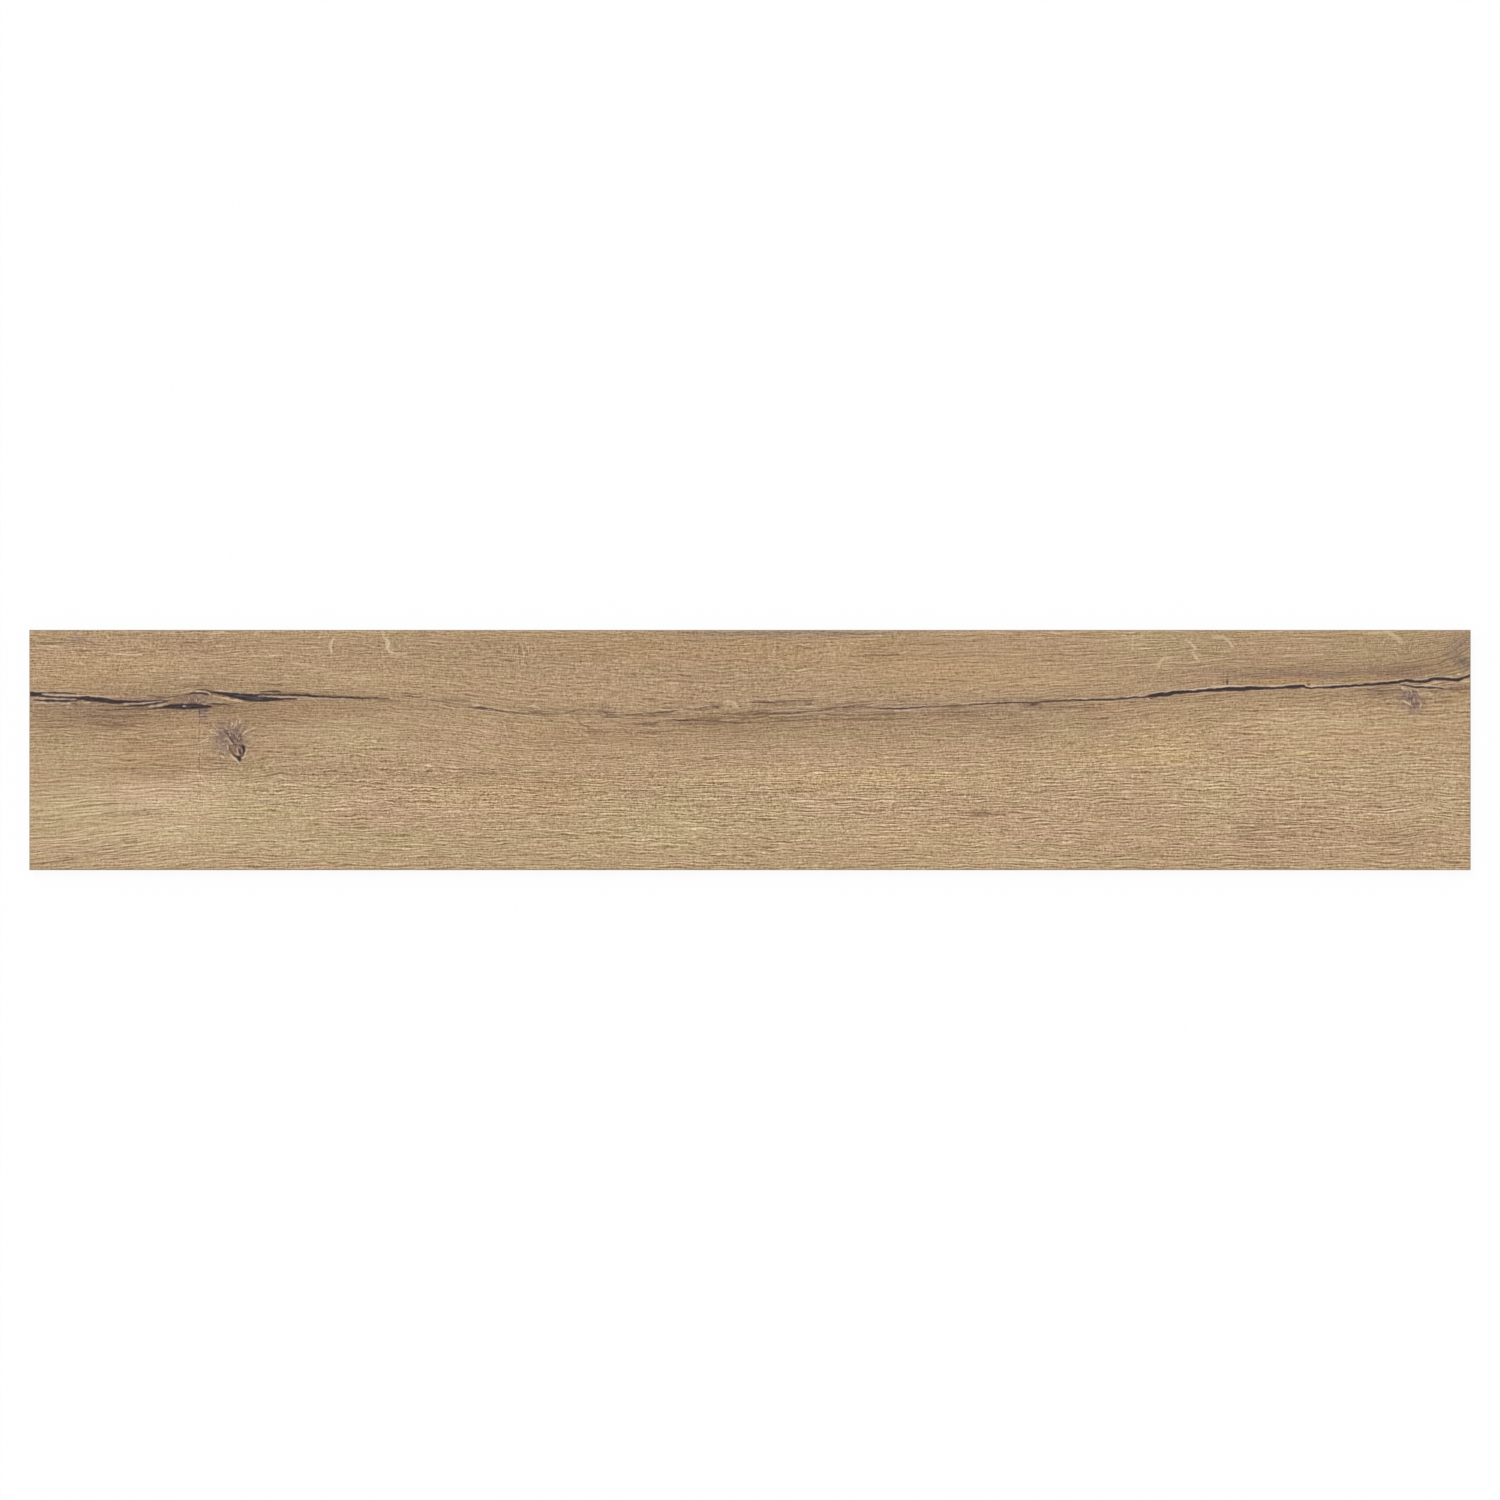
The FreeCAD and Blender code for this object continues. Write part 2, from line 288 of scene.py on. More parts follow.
# Pale fibres, the rays of the wood, and splinters in the splits.
PALE_FIBRES = [
    [(-305.5, 93.2, 0.8), (-302.3, 91.6, 1.2), (-300.3, 88.8, 1), (-302.4, 85.6, 1.1),
     (-301.4, 83.2, 1.2), (-297.6, 80.5, 1)],
    [(-306, 96.6, 0.6), (-305.4, 93.6, 0.8)],
    [(-347.6, 91.5, 0.7), (-348.8, 87, 1.1), (-348.4, 81.5, 0.9)],
    [(-467, 48.6, 0.5), (-459, 49.2, 0.8), (-452.6, 47.9, 1), (-449, 46.4, 0.8)],
    [(-471.6, 36.6, 1.4), (-470.4, 36.6, 1.4)],
    [(-409, 44.6, 0.7), (-398.3, 44.3, 0.9), (-388.7, 43.9, 1), (-377, 43.9, 0.7)],
    [(-375, 44, 0.7), (-366, 43.5, 0.9), (-357, 42.8, 0.7), (-337, 42.3, 0.8)],
    [(-590, 43, 0.9), (-572, 42.3, 1), (-561, 42.3, 0.7)],
    [(-589, 46.4, 1), (-575, 45.7, 1.4), (-562, 45.3, 1.1), (-551, 45.4, 0.6)],
    [(-555, 39.8, 1), (-550, 39.6, 1.2)],
    [(-521, 38.2, 0.8), (-509, 38.8, 0.9), (-498, 39.7, 0.9), (-489, 40.5, 0.5)],
    [(-500, 36.2, 0.8), (-493, 37.3, 1), (-486, 38.5, 0.7)],
    [(-595, 39.3, 0.9), (-566, 39, 0.9)],
    [(-445, 49.6, 0.9), (-436, 49, 1), (-424, 47.4, 0.8)],
    [(-447, 45, 0.5), (-440, 43.3, 0.8), (-432, 42, 0.9), (-427, 41, 1.2), (-422, 40.2, 0.6)],
    [(-452, 39.7, 0.7), (-440, 39.4, 0.8)],
    [(-432.6, -3.6, 1), (-430.2, -6.6, 1.5), (-426.8, -9.4, 1.3), (-425.2, -11.6, 0.8)],
    [(-434.9, 3.3, 1), (-434.6, 0.2, 0.9)],
    [(-419.6, -1.8, 0.8), (-420.3, -4.2, 1), (-421.9, -7, 0.9)],
    [(-434.8, 10.4, 1), (-432.8, 6.9, 1.2), (-431, 4.9, 0.9)],
    [(-427, 1.6, 0.7), (-426.4, -2.6, 1.1), (-426, -4.2, 0.9)],
    [(-431.1, 22.6, 1.4), (-430.8, 21.7, 1.4)],
    [(-427.1, 24.7, 0.9), (-427.9, 20.4, 1.1)],
    [(-424.6, 24.7, 0.9), (-425, 22.5, 1)],
    [(-421.6, 13.6, 0.9), (-418.6, 15.9, 1.4), (-413.2, 17.8, 1)],
    [(-450.5, 16.2, 0.6), (-445, 13.9, 0.8), (-442, 12.4, 0.6)],
    [(-447, 20.4, 0.7), (-443.4, 17, 0.9)],
    [(-458.6, 5.8, 0.7), (-451, 9.4, 0.9)],
    [(-440.6, -4.6, 1.4), (-438.4, -6, 1.4)],
    [(-402.5, -14.5, 0.8), (-396, -9.8, 1.1)],
    [(-398.5, -24.3, 0.6), (-391.5, -22.7, 1), (-385.5, -24.2, 0.6)],
    [(437.7, -55.2, 1.7), (440.5, -55.4, 1.5)],
    [(444, -56.6, 1.4), (447.2, -56.5, 1.6)],
    [(415.4, -38.2, 1.2), (416.8, -38.2, 1.2)],
    [(458.3, -37, 0.9), (458.6, -45, 0.9)],
    [(-591.3, 86.8, 0.9), (-577.1, 86.4, 0.9)],
    [(-529.7, 79.7, 1), (-518, 79.5, 1.4), (-506.3, 79.4, 0.9)],
    [(-537, 97.6, 0.6), (-533.4, 93.4, 0.9)],
    [(-398.3, 78.9, 0.9), (-389, 78.9, 1)],
    [(-429, 80.1, 1.2), (-427.6, 79.9, 1.2)],
    [(-474.7, 60.3, 0.8), (-459.4, 60.6, 0.9)],
    [(-487, -66, 0.8), (-476, -67.5, 0.9)],
    [(-408, -41, 1), (-402, -40.9, 1)],
    [(-184.6, 36.2, 0.8), (-180.6, 37.2, 1.2), (-177.4, 35.4, 1.2), (-174.6, 34, 1)],
    [(-231, 37.2, 0.7), (-225.4, 36.7, 1)],
    [(-80, 33, 0.6), (-66, 33.8, 0.8), (-56, 34.1, 0.5)],
    [(16, 28.3, 0.4), (30, 28.4, 0.6), (50, 29.8, 0.5)],
    [(40, 35.6, 0.6), (54, 36, 0.6)],
    [(-21, 40.6, 0.6), (-16.5, 41.4, 0.9), (-12.4, 39.4, 1), (-11.4, 36.6, 0.8)],
    [(-20.6, 37.2, 0.6), (-15.2, 38.2, 0.8), (-14, 35.8, 0.7)],
    [(120, 32.8, 0.9), (138, 33.2, 0.8)],
    [(330.4, 43, 0.9), (332.2, 41.8, 1)],
    [(384, 53.2, 0.8), (393, 53.2, 1.2), (399.6, 53, 1.2), (408, 53.5, 0.7)],
    [(395.2, 47.9, 0.9), (396.2, 47.7, 0.9)],
    [(467.5, 53.6, 0.8), (476, 53.3, 0.6)],
    [(543, 51.6, 1.6), (545.4, 51.2, 1.4)],
    [(549.4, 51, 0.7), (550.6, 48.6, 1)],
    [(555.4, 50.6, 0.9), (556.6, 49, 0.9)],
    [(543.4, 41.4, 0.8), (547, 39.4, 1.1), (551, 36.8, 0.8)],
    [(557.2, 41, 0.8), (559, 38.4, 1), (557.6, 35.6, 0.8)],
    [(556.8, 46.6, 0.7), (566, 47.8, 1)],
    [(560.6, 54.2, 0.8), (566, 53.8, 1.1), (571, 52.8, 0.7)],
    [(569, 56.4, 1.4), (571.6, 56.4, 1.4)],
    [(589.6, 62.9, 1.4), (591, 63.1, 1.4)],
    [(562.5, 61.3, 1), (563.4, 61.2, 1)],
    [(591, 56.9, 0.8), (599, 57.6, 0.9)],
]

# The broad rays of the oak, which cross the grain and are pale and ragged.
RAYS = [
    [(-346, 94.5, 1), (-349.8, 87, 2.6), (-348.2, 81, 2)],
    [(-306, 99.4, 2.2), (-304.5, 93.7, 1.6), (-300.5, 90.5, 3.2), (-301.3, 87.3, 2.6),
     (-303, 84.9, 2.6), (-299.7, 81.6, 2.6), (-294, 79.6, 1.6), (-286, 80, 1.2)],
    [(339.9, 68.8, 1.6), (341.1, 73.6, 2.2), (345.1, 76.9, 2.4), (351.6, 77.3, 1)],
    [(362.8, 92.1, 1.6), (367.7, 88.1, 2.4), (370.5, 84.9, 2.4), (368.5, 80.9, 1.8),
     (371.7, 76, 2.6), (374.1, 74.4, 1.6)],
    [(386, 94.5, 2.6), (395, 93.8, 2.4), (399.1, 89.7, 2.4), (402.7, 84.9, 1.6)],
    [(515, 97.2, 1.4), (524, 97.9, 2), (531, 97.8, 2.6), (534.6, 96, 3), (539.4, 92.5, 3.6),
     (541.6, 89.3, 3)],
    [(-381, 72.3, 1.2), (-372, 71.2, 1.6), (-363, 69.2, 1.2)],
    [(-361, 67.6, 1.2), (-351, 67.4, 1.4)],
]

# Stretches of the split with a bright upper lip: from x to x, and how bright.
LIPS = [
    (-600, -585, 0.4), (-560, -530, 0.3), (-425, -400, 0.35), (-225, -212, 0.25), (105, 150, 0.3),
    (265, 310, 0.55), (310, 345, 0.8), (345, 430, 1.0), (430, 470, 0.8), (470, 545, 0.7),
    (545, 600, 0.55),
]

# Where fibres fan out: root, middle, half length, half height and strength.
PLUMES = [
    (-428, 3, -431.5, 11, 13, 13, 1.0),
    (-462, 33, -461, 40.5, 12, 4.5, 1.0),
    (550, 54, 551, 42, 8, 9, 0.9),
]

# Soft patches of each tone: middle, half length, half height and strength.
PATCHES = {
    "cream": [
        (0, -60, 900, 40, 0.14), (420, -22, 210, 24, 0.3), (-300, 0, 90, 20, 0.18),
        (-350, -38, 50, 20, 0.15), (-520, -76, 110, 18, 0.25), (-530, -46, 70, 20, 0.2),
        (120, -24, 160, 12, 0.15), (-495, -42, 60, 20, 0.4), (-470, -46, 40, 18, 0.35),
        (-560, -82, 60, 12, 0.3), (450, 25, 80, 7, 0.4), (550, -52, 50, 9, 0.45),
        (-475, -66, 22, 6, 0.5), (-260, -40, 50, 9, 0.35), (275, -16, 24, 6, 0.4),
        (75, 84, 24, 6, 0.4), (325, 94, 26, 5, 0.35), (-325, 60, 28, 9, 0.4),
    ],
    "straw": [
        (450, 2, 50, 20, 0.15), (-530, 73, 55, 9, 0.5), (-330, 58, 60, 6, 0.3),
        (250, 58, 40, 8, 0.3), (-250, -36, 34, 12, 0.45), (80, -22, 130, 8, 0.7),
        (345, 12, 26, 18, 0.6), (350, -8, 30, 6, 0.5), (462, -5, 22, 3, 0.9),
        (150, -74, 50, 12, 0.4), (500, 14, 90, 12, 0.3),
    ],
    "amber": [
        (-560, 60, 45, 7, 0.35), (-60, 84, 90, 14, 0.3), (60, 76, 70, 18, 0.25),
        (160, 66, 70, 14, 0.4), (433, 56.5, 22, 3, 0.9), (462, 57.5, 7, 3, 1.0),
        (520, 59.5, 26, 3, 0.5), (-460, 24, 40, 10, 0.35), (-500, -3, 36, 12, 0.35),
        (-380, 34, 60, 6, 0.35), (-150, 8, 60, 14, 0.2), (-170, -36, 50, 16, 0.3),
        (300, -4, 40, 10, 0.35), (569, 56, 3, 2, 1.0), (290, 36.6, 18, 2.4, 0.9),
    ],
    "rose": [
        (-490, 88, 90, 12, 0.35), (-130, 52, 70, 8, 0.35), (230, 84, 60, 12, 0.35),
        (425, 80, 26, 14, 0.3), (-414, 0, 8, 6, 0.6), (-428.6, -1, 2.2, 4, 0.9),
        (-240, 10, 60, 16, 0.35), (-500, -34, 40, 8, 0.5), (-318, -42, 40, 20, 0.45),
        (-245, -52, 60, 10, 0.4), (50, -6, 100, 10, 0.3), (120, -44, 60, 14, 0.25),
        (405, 8, 26, 14, 0.5), (520, 8, 34, 12, 0.5), (110, -62, 40, 14, 0.5),
        (250, -66, 60, 18, 0.45), (330, -40, 36, 16, 0.4), (450, -76, 90, 12, 0.4),
        (500, -50, 40, 12, 0.35), (150, 3, 60, 22, 0.2), (-500, -38, 90, 14, 0.3),
    ],
    "olive": [
        (-190, 78, 60, 13, 0.25), (346, 86, 14, 9, 0.8), (385, 86, 16, 9, 0.7),
        (-288, 90, 11, 8, 0.8), (530, 84, 40, 12, 0.6), (-330, -70, 90, 4, 0.4),
        (120, 14, 110, 8, 0.35), (-340, 36, 80, 12, 0.25), (-540, 98, 60, 3, 0.5),
    ],
    "lichen": [
        (325, 84, 26, 12, 0.5), (470, 84, 24, 10, 0.25), (-565, 1, 34, 11, 0.55),
        (-330, 12, 40, 14, 0.6), (-560, -46, 46, 20, 0.9), (-400, -42, 52, 22, 0.9),
        (-75, -64, 80, 26, 0.8), (-330, -80, 170, 12, 0.6), (255, 14, 34, 12, 0.5),
        (460, 8, 26, 18, 0.5), (540, -10, 26, 8, 0.5), (75, -58, 56, 18, 0.5),
        (385, -45, 20, 28, 0.6), (580, -40, 8, 30, 0.5), (-14, 37.5, 9, 4, 0.7),
        (200, -84, 100, 16, 0.3),
    ],
    "umber": [
        (0, 40, 900, 16, 0.12), (-550, 37, 75, 10, 0.55), (-450, 38, 170, 18, 0.18),
        (-430, 33, 60, 10, 0.3), (-400, 22, 50, 6, 0.3), (-330, 35, 60, 9, 0.3),
        (-150, 33, 90, 9, 0.1), (-20, 27, 100, 11, 0.4), (50, 20, 130, 7, 0.35),
        (180, 31, 90, 7, 0.3), (480, 66, 80, 9, 0.45), (560, 68, 50, 12, 0.6),
        (410, 64, 60, 9, 0.3), (-40, 12, 120, 9, 0.3), (-500, 8, 100, 12, 0.3),
        (-445, -8, 60, 8, 0.35), (0, 88, 900, 16, 0.24), (-100, 80, 110, 22, 0.14),
        (-480, 58, 150, 14, 0.22), (-500, 40, 130, 14, 0.25), (-380, 46, 60, 10, 0.2),
        (470, 56, 160, 14, 0.2), (400, 52, 200, 12, 0.2), (350, 32, 55, 14, 0.2),
        (-270, 74, 80, 14, 0.15), (105, 80, 20, 4, 0.35), (-550, 24, 64, 8, 0.75),
        (-525, 22, 26, 5, 0.35), (-500, -19, 70, 3.5, 0.35), (-370, -16, 70, 5, 0.4),
        (-255, -19, 110, 5, 0.35), (-545, -84, 40, 5, 0.4), (200, 24, 90, 6, 0.2),
        (282, 22, 28, 10, 0.3), (192, -53, 18, 2.2, 0.6), (416, -70, 14, 5, 0.5),
        (533, -71, 18, 5, 0.6), (540, 44, 70, 5, 0.4), (375, 44, 24, 4, 0.4), (225, 15, 26, 7, 0.5),
        (-120, 8, 70, 8, 0.3), (-275, 14, 26, 6, 0.35), (-500, -16, 50, 4, 0.35),
    ],
    "mauve": [
        (-540, 36, 80, 10, 0.35), (-430, 36, 60, 9, 0.15), (110, 34, 110, 9, 0.35),
        (240, 38, 60, 9, 0.3), (10, 62, 120, 12, 0.22), (590, 86, 15, 12, 0.8),
        (-440, 10, 4.5, 15, 0.9), (-429, 12, 6, 9, 0.8), (-455, 30, 4, 7, 0.9),
        (-464, 41, 10, 3.5, 0.7), (420, 64, 40, 3.5, 0.45), (475, 63.5, 45, 4, 0.6),
        (540, 65, 30, 4, 0.5), (549, 45, 8, 6, 1.0), (554, 38, 6, 6, 1.0), (588, 51.5, 16, 2, 0.9),
        (523, 49, 12, 4, 0.9), (-85, 22, 9, 2.5, 0.6), (238, 37.8, 3.6, 2.6, 1.0),
        (-560, 92, 7, 3, 0.8), (-118, 33, 9, 3, 0.4), (-163, 32, 6, 2, 0.5),
        (-145, 32.5, 7, 2, 0.5), (-118, 28, 5, 1.6, 0.5), (-130, 34, 12, 2.5, 0.3),
        (27, 27.8, 10, 2, 0.8),
    ],
    "slate": [
        (596, 72, 10, 5, 0.6), (-430, 9, 5, 6, 0.6), (-423.4, 0, 2.4, 5, 0.9),
        (-457, 32, 7, 3, 0.6), (0, 98, 90, 4, 0.35), (80, 98, 60, 4, 0.35),
    ],
}

# Saw marks cross the grain here: middle, half length, half height and strength.
SAW_MARKS = [
    (-458, -20, 3, 52, 0.9), (-189, 81, 12, 10, 1.0), (25, 83, 16, 8, 0.8), (-526, 69, 5, 4, 1.0),
    (540, 86, 40, 10, 0.6), (120, 48, 30, 10, 0.4), (-560, 78, 12, 10, 0.5), (458, -40, 5, 6, 0.6),
    (395, 86, 14, 8, 0.6), (-300, 86, 20, 12, 0.5), (180, -36, 30, 16, 0.4),
    (-330, 0, 60, 30, 0.35), (0, 0, 900, 160, 0.2),
]

# Fine straight lines, close together: middle, half length, half height and strength.
FINE_LINES = [(350, 80, 280, 26, 1.0), (-570, -58, 110, 42, 0.6)]

# Curly figure, where the fibres are ragged: middle, half length, half height and strength.
CURLS = [
    (-280, -30, 130, 40, 1.0), (-330, 10, 70, 20, 0.8), (-428, 10, 30, 20, 0.8),
    (40, 80, 60, 14, 1.0), (-40, -75, 120, 22, 0.9), (340, 8, 90, 18, 0.9), (380, 85, 60, 12, 0.9),
    (-320, 86, 50, 14, 0.9), (300, 22, 50, 10, 0.8), (564, -58, 20, 24, 0.6),
    (200, -78, 120, 18, 0.8), (0, 0, 900, 160, 0.25),
]

# How bold the grain is.
BOLDNESS = 1.12

# Where the grain is bolder or quieter than that: middle, half length, half height and change.
BOLD_AND_QUIET = [
    (0, -36, 270, 26, 0.42), (480, -60, 200, 40, 0.15), (-500, 80, 200, 20, 0.12),
    (-570, -40, 100, 50, -0.35), (-350, 16, 60, 16, -0.25), (550, 16, 110, 14, -0.25),
    (180, 80, 90, 20, -0.18),
]

# Where the fibres bend up or down: middle, half length, half height and how far.
BENDS = [
    (-456, 50, 16, 7, -3.5), (564, -58, 17, 30, -2.6), (520, -55, 20, 26, 1.2),
    (-391, -22, 8, 5, -2.0), (614, 80, 36, 25, -14.0),
]


# Fields over the face, in millimetres

NOISE_TABLE = 65536
NOISE_SHIFT = 500  # cells between the noise's own corner and the middle of the face
FAR = 60.0
SMALL_PATCH = 10


def smooth(low, high, value):
    """0 below low and 1 above high, with a soft step between."""
    t = np.clip((value - low) / (high - low), 0, 1)
    return t * t * (3 - 2 * t)


def soft_noise(x, y, length, height, seed):
    """Noise from -1 to 1 whose blotches are about this long and high."""
    u = x / length + NOISE_SHIFT
    v = y / height + NOISE_SHIFT
    column = np.floor(u).astype(int)
    row = np.floor(v).astype(int)
    a = smooth(0, 1, u - column)
    b = smooth(0, 1, v - row)
    values = np.random.default_rng(seed).uniform(-1, 1, NOISE_TABLE)
    scatter = np.random.default_rng(seed + 1).permutation(NOISE_TABLE)

    def at(i, j):
        return values[(scatter[i % NOISE_TABLE] + j) % NOISE_TABLE]

    near = at(column, row) * (1 - a) + at(column + 1, row) * a
    far = at(column, row + 1) * (1 - a) + at(column + 1, row + 1) * a
    return near * (1 - b) + far * b


def gap_to(strands, x, y):
    """The distance to the nearest strand's edge, less than 0 inside it."""
    nearest = np.full(x.shape, FAR)
    for strand in strands:
        for (x0, y0, w0), (x1, y1, w1) in zip(strand, strand[1:]):
            run = np.array((x1 - x0, y1 - y0))
            t = ((x - x0) * run[0] + (y - y0) * run[1]) / (run @ run)
            t = np.clip(t, 0, 1)
            away = np.hypot(x - x0 - t * run[0], y - y0 - t * run[1])
            nearest = np.minimum(nearest, away - (w0 + (w1 - w0) * t) / 2)
    return nearest


def seam_height(x):
    """Where the split and its seam run: the y of their middle."""
    xs, ys = zip(*SEAM_LINE)
    return np.interp(x, xs, ys)


def pushed_aside(x, y, middle_x, middle_y, radius):
    """How far the fibres shift at a point as they pass a knot of this radius."""
    dx = (x - middle_x) / 1.4
    dy = y - middle_y
    return -dy * radius ** 2 / (dx ** 2 + dy ** 2 + radius ** 2)


def hill(x, y, middle_x, middle_y, half_x, half_y):
    """1 in the middle of a soft round hill, and 0 well outside it."""
    return np.exp(-((x - middle_x) / half_x) ** 2 - ((y - middle_y) / half_y) ** 2)


def hills_total(hills, x, y):
    """The sum of soft hills, each with its own height."""
    total = np.zeros(x.shape)
    for middle_x, middle_y, half_x, half_y, rise in hills:
        total += rise * hill(x, y, middle_x, middle_y, half_x, half_y)
    return total


def marks_share(marks, x, y):
    """How strongly the nearest of some soft marks shows at each point."""
    share = np.zeros(x.shape)
    for middle_x, middle_y, half_x, half_y, strength in marks:
        share = np.maximum(share, strength * hill(x, y, middle_x, middle_y, half_x, half_y))
    return share


def fibre_height(x, y):
    """The height across the grain: points with the same value lie on the same fibre."""
    seam = seam_height(x)
    height = y - (seam - SEAM_LEVEL) * np.exp(-((y - seam) / 45) ** 2)
    height += pushed_aside(x, y, KNOT_X, KNOT_Y, 6.5)
    height += pushed_aside(x, y, -17, 37.5, 3)
    height += hills_total(BENDS, x, y)
    # Towards the lower left corner the fibres slope.
    height += 14.0 * (1 - smooth(-640, -440, x)) * hill(0, y, 0, -80, 1, 45)
    height += 2.2 * soft_noise(x, y, 170, 60, 11)
    height += 0.5 * soft_noise(x, y, 34, 12, 21)
    height += 0.22 * soft_noise(x, y, 11, 5, 31)
    return height


def tint_of(x, y):
    """What the oak's colour is multiplied by at each point."""
    tint = np.ones(x.shape + (3,))
    wander_x = x + 9 * soft_noise(x, y, 16, 7, 41)
    wander_y = y + 3.5 * soft_noise(x, y, 22, 7, 51)
    # The outlines of the large patches are ragged, and the small ones stay where they are.
    for name, patches in PATCHES.items():
        change = np.array(WOOD_TONES[name]) / np.array(OAK) - 1
        for patch_x, patch_y, half_x, half_y, strength in patches:
            px, py = (x, y) if half_x < SMALL_PATCH else (wander_x, wander_y)
            share = strength * hill(px, py, patch_x, patch_y, half_x, half_y)
            tint *= 1 + share[..., None] * change
    return tint


def lip_light(x, y):
    """How bright the lips of the split are: the upper one catches the light."""
    light = np.zeros(x.shape)
    for start, end, strength in LIPS:
        inside = smooth(start - 4, start + 4, x) * (1 - smooth(end - 4, end + 4, x))
        light = np.maximum(light, strength * inside)
    rise = gap_to(SPLITS, x, y + 0.5) - gap_to(SPLITS, x, y - 0.5)
    light *= 0.25 + 0.75 * smooth(-0.3, 0.6, rise)
    light *= smooth(20, 30, y)
    return light * (0.75 + 0.35 * soft_noise(x, y, 9, 4, 61))


def plumes_of(x, y):
    """How strongly the fibres fan out from a root, and where a point lies along and across them."""
    share = np.zeros(x.shape)
    rays = np.zeros((len(x), 3))
    for root_x, root_y, middle_x, middle_y, half_x, half_y, strength in PLUMES:
        here = strength * hill(x, y, middle_x, middle_y, half_x, half_y)
        polar = (np.hypot(x - root_x, y - root_y), 9 * np.arctan2(y - root_y, x - root_x), 0 * x)
        rays = np.where((here > share)[:, None], np.column_stack(polar), rays)
        share = np.maximum(share, here)
    return share, rays


# The mesh

# The face is cut into square blocks of lattice cells, 4 cells a side where nothing is drawn,
# 2 nearer than NEAR_LINES millimetres to a drawn line and 1 within ON_LINES of it.
LATTICE_X, LATTICE_Y = 1536, 480
LARGE = 4
NEAR_LINES = 1.6
ON_LINES = 0.66


def lattice_place(column, row):
    """Where a lattice point lies, in millimetres."""
    half_x = (LENGTH / 2 - FACE_BEVEL) / MM
    half_y = (WIDTH / 2 - FACE_BEVEL) / MM
    return half_x * (2 * column / LATTICE_X - 1), half_y * (2 * row / LATTICE_Y - 1)


def face_blocks():
    """The blocks as columns, rows and sides, each corner given by its lowest column and row."""
    column, row = np.meshgrid(np.arange(0, LATTICE_X, 2), np.arange(0, LATTICE_Y, 2))
    x, y = lattice_place(column + 1.0, row + 1.0)
    gap = gap_to(SPLITS + SEAMS + TRACES + PALE_FIBRES + RAYS, x, y)
    on_knot = hill(x, y, KNOT_X, 4, 16, 20) > 0.4
    gap = np.where(on_knot, np.minimum(gap, NEAR_LINES / 2), gap)
    quiet = (gap > NEAR_LINES).reshape(LATTICE_Y // LARGE, 2, LATTICE_X // LARGE, 2)
    large = quiet.all(axis=(1, 3))
    taken = large.repeat(2, axis=0).repeat(2, axis=1)
    small = ~taken & (gap < ON_LINES)
    medium = ~taken & ~small
    blocks = []
    for mask, side in ((large, LARGE), (medium, 2)):
        rows, columns = np.nonzero(mask)
        blocks.append(np.column_stack((columns * side, rows * side, np.full(len(rows), side))))
    rows, columns = np.nonzero(small)
    for i in (0, 1):
        for j in (0, 1):
            blocks.append(np.column_stack((columns * 2 + i, rows * 2 + j, np.full(len(rows), 1))))
    return np.concatenate(blocks)


def block_rim(column, row, side):
    """The lattice points round a block, counterclockwise."""
    steps = range(side)
    front = [(row, column + step) for step in steps]
    right = [(row + step, column + side) for step in steps]
    back = [(row + side, column + side - step) for step in steps]
    left = [(row + side - step, column) for step in steps]
    return front + right + back + left


def face_grid():
    """The face's points in millimetres, its faces, and its rim as four sides of points."""
    blocks = face_blocks()
    used = np.zeros((LATTICE_Y + 1, LATTICE_X + 1), bool)
    for i in (0, 1):
        for j in (0, 1):
            used[blocks[:, 1] + j * blocks[:, 2], blocks[:, 0] + i * blocks[:, 2]] = True
    index = np.where(used, np.cumsum(used).reshape(used.shape) - 1, -1)
    # A block's outline takes in the corners that smaller blocks leave along it.
    table = index.tolist()
    faces = []
    for column, row, side in blocks.tolist():
        outline = [table[j][i] for j, i in block_rim(column, row, side)]
        faces.append([point for point in outline if point >= 0])
    rows, columns = np.nonzero(used)
    x, y = lattice_place(columns.astype(float), rows.astype(float))
    sides = [index[0], index[:, -1], index[-1, ::-1], index[::-1, 0]]
    return x, y, faces, [side[side >= 0] for side in sides]


def face_fields(x, y):
    """Everything that the face's relief and its print share, point by point."""
    ragged_y = y + 0.38 * soft_noise(x, y, 4.5, 2.2, 71) + 0.25 * soft_noise(x, y, 1.7, 1.1, 72)
    height = fibre_height(x, y)
    plume, rays = plumes_of(x, y)
    return {
        "fibre": np.column_stack((x, height, 0 * x)),
        "split_gap": gap_to(SPLITS, x, ragged_y),
        "seam_gap": gap_to(SEAMS, x, ragged_y),
        "trace_gap": gap_to(TRACES, x, ragged_y),
        "pale_gap": gap_to(PALE_FIBRES, x, ragged_y),
        "ray_gap": gap_to(RAYS, x, ragged_y),
        "plume": plume,
        "rays": rays,
        "tint": tint_of(x, y),
        "boldness": BOLDNESS + hills_total(BOLD_AND_QUIET, x, y),
        "lip": lip_light(x, y),
        "lined": marks_share(FINE_LINES, x, y),
        "saw": marks_share(SAW_MARKS, x, y),
        "curl": marks_share(CURLS, x, y),
    }


def face_depth(x, y, fields):
    """How far the pressed relief lies below the plane of the face, in metres."""
    height = fields["fibre"][:, 1]
    split = smooth(0, SPLIT_WALL / MM, 0.3 - fields["split_gap"])
    seam = smooth(-0.5, 0.5, -fields["seam_gap"])
    ring = 0.5 - 0.5 * soft_noise(x, height, 95, 2.7, 81)
    wave = 0.5 + 0.5 * soft_noise(x, height, 130, 11, 91)
    depth = RING_RELIEF * ring ** 2 + WAVE_RELIEF * wave
    depth = np.maximum(depth, SEAM_DEPTH * seam)
    return np.maximum(depth, SPLIT_DEPTH * split)


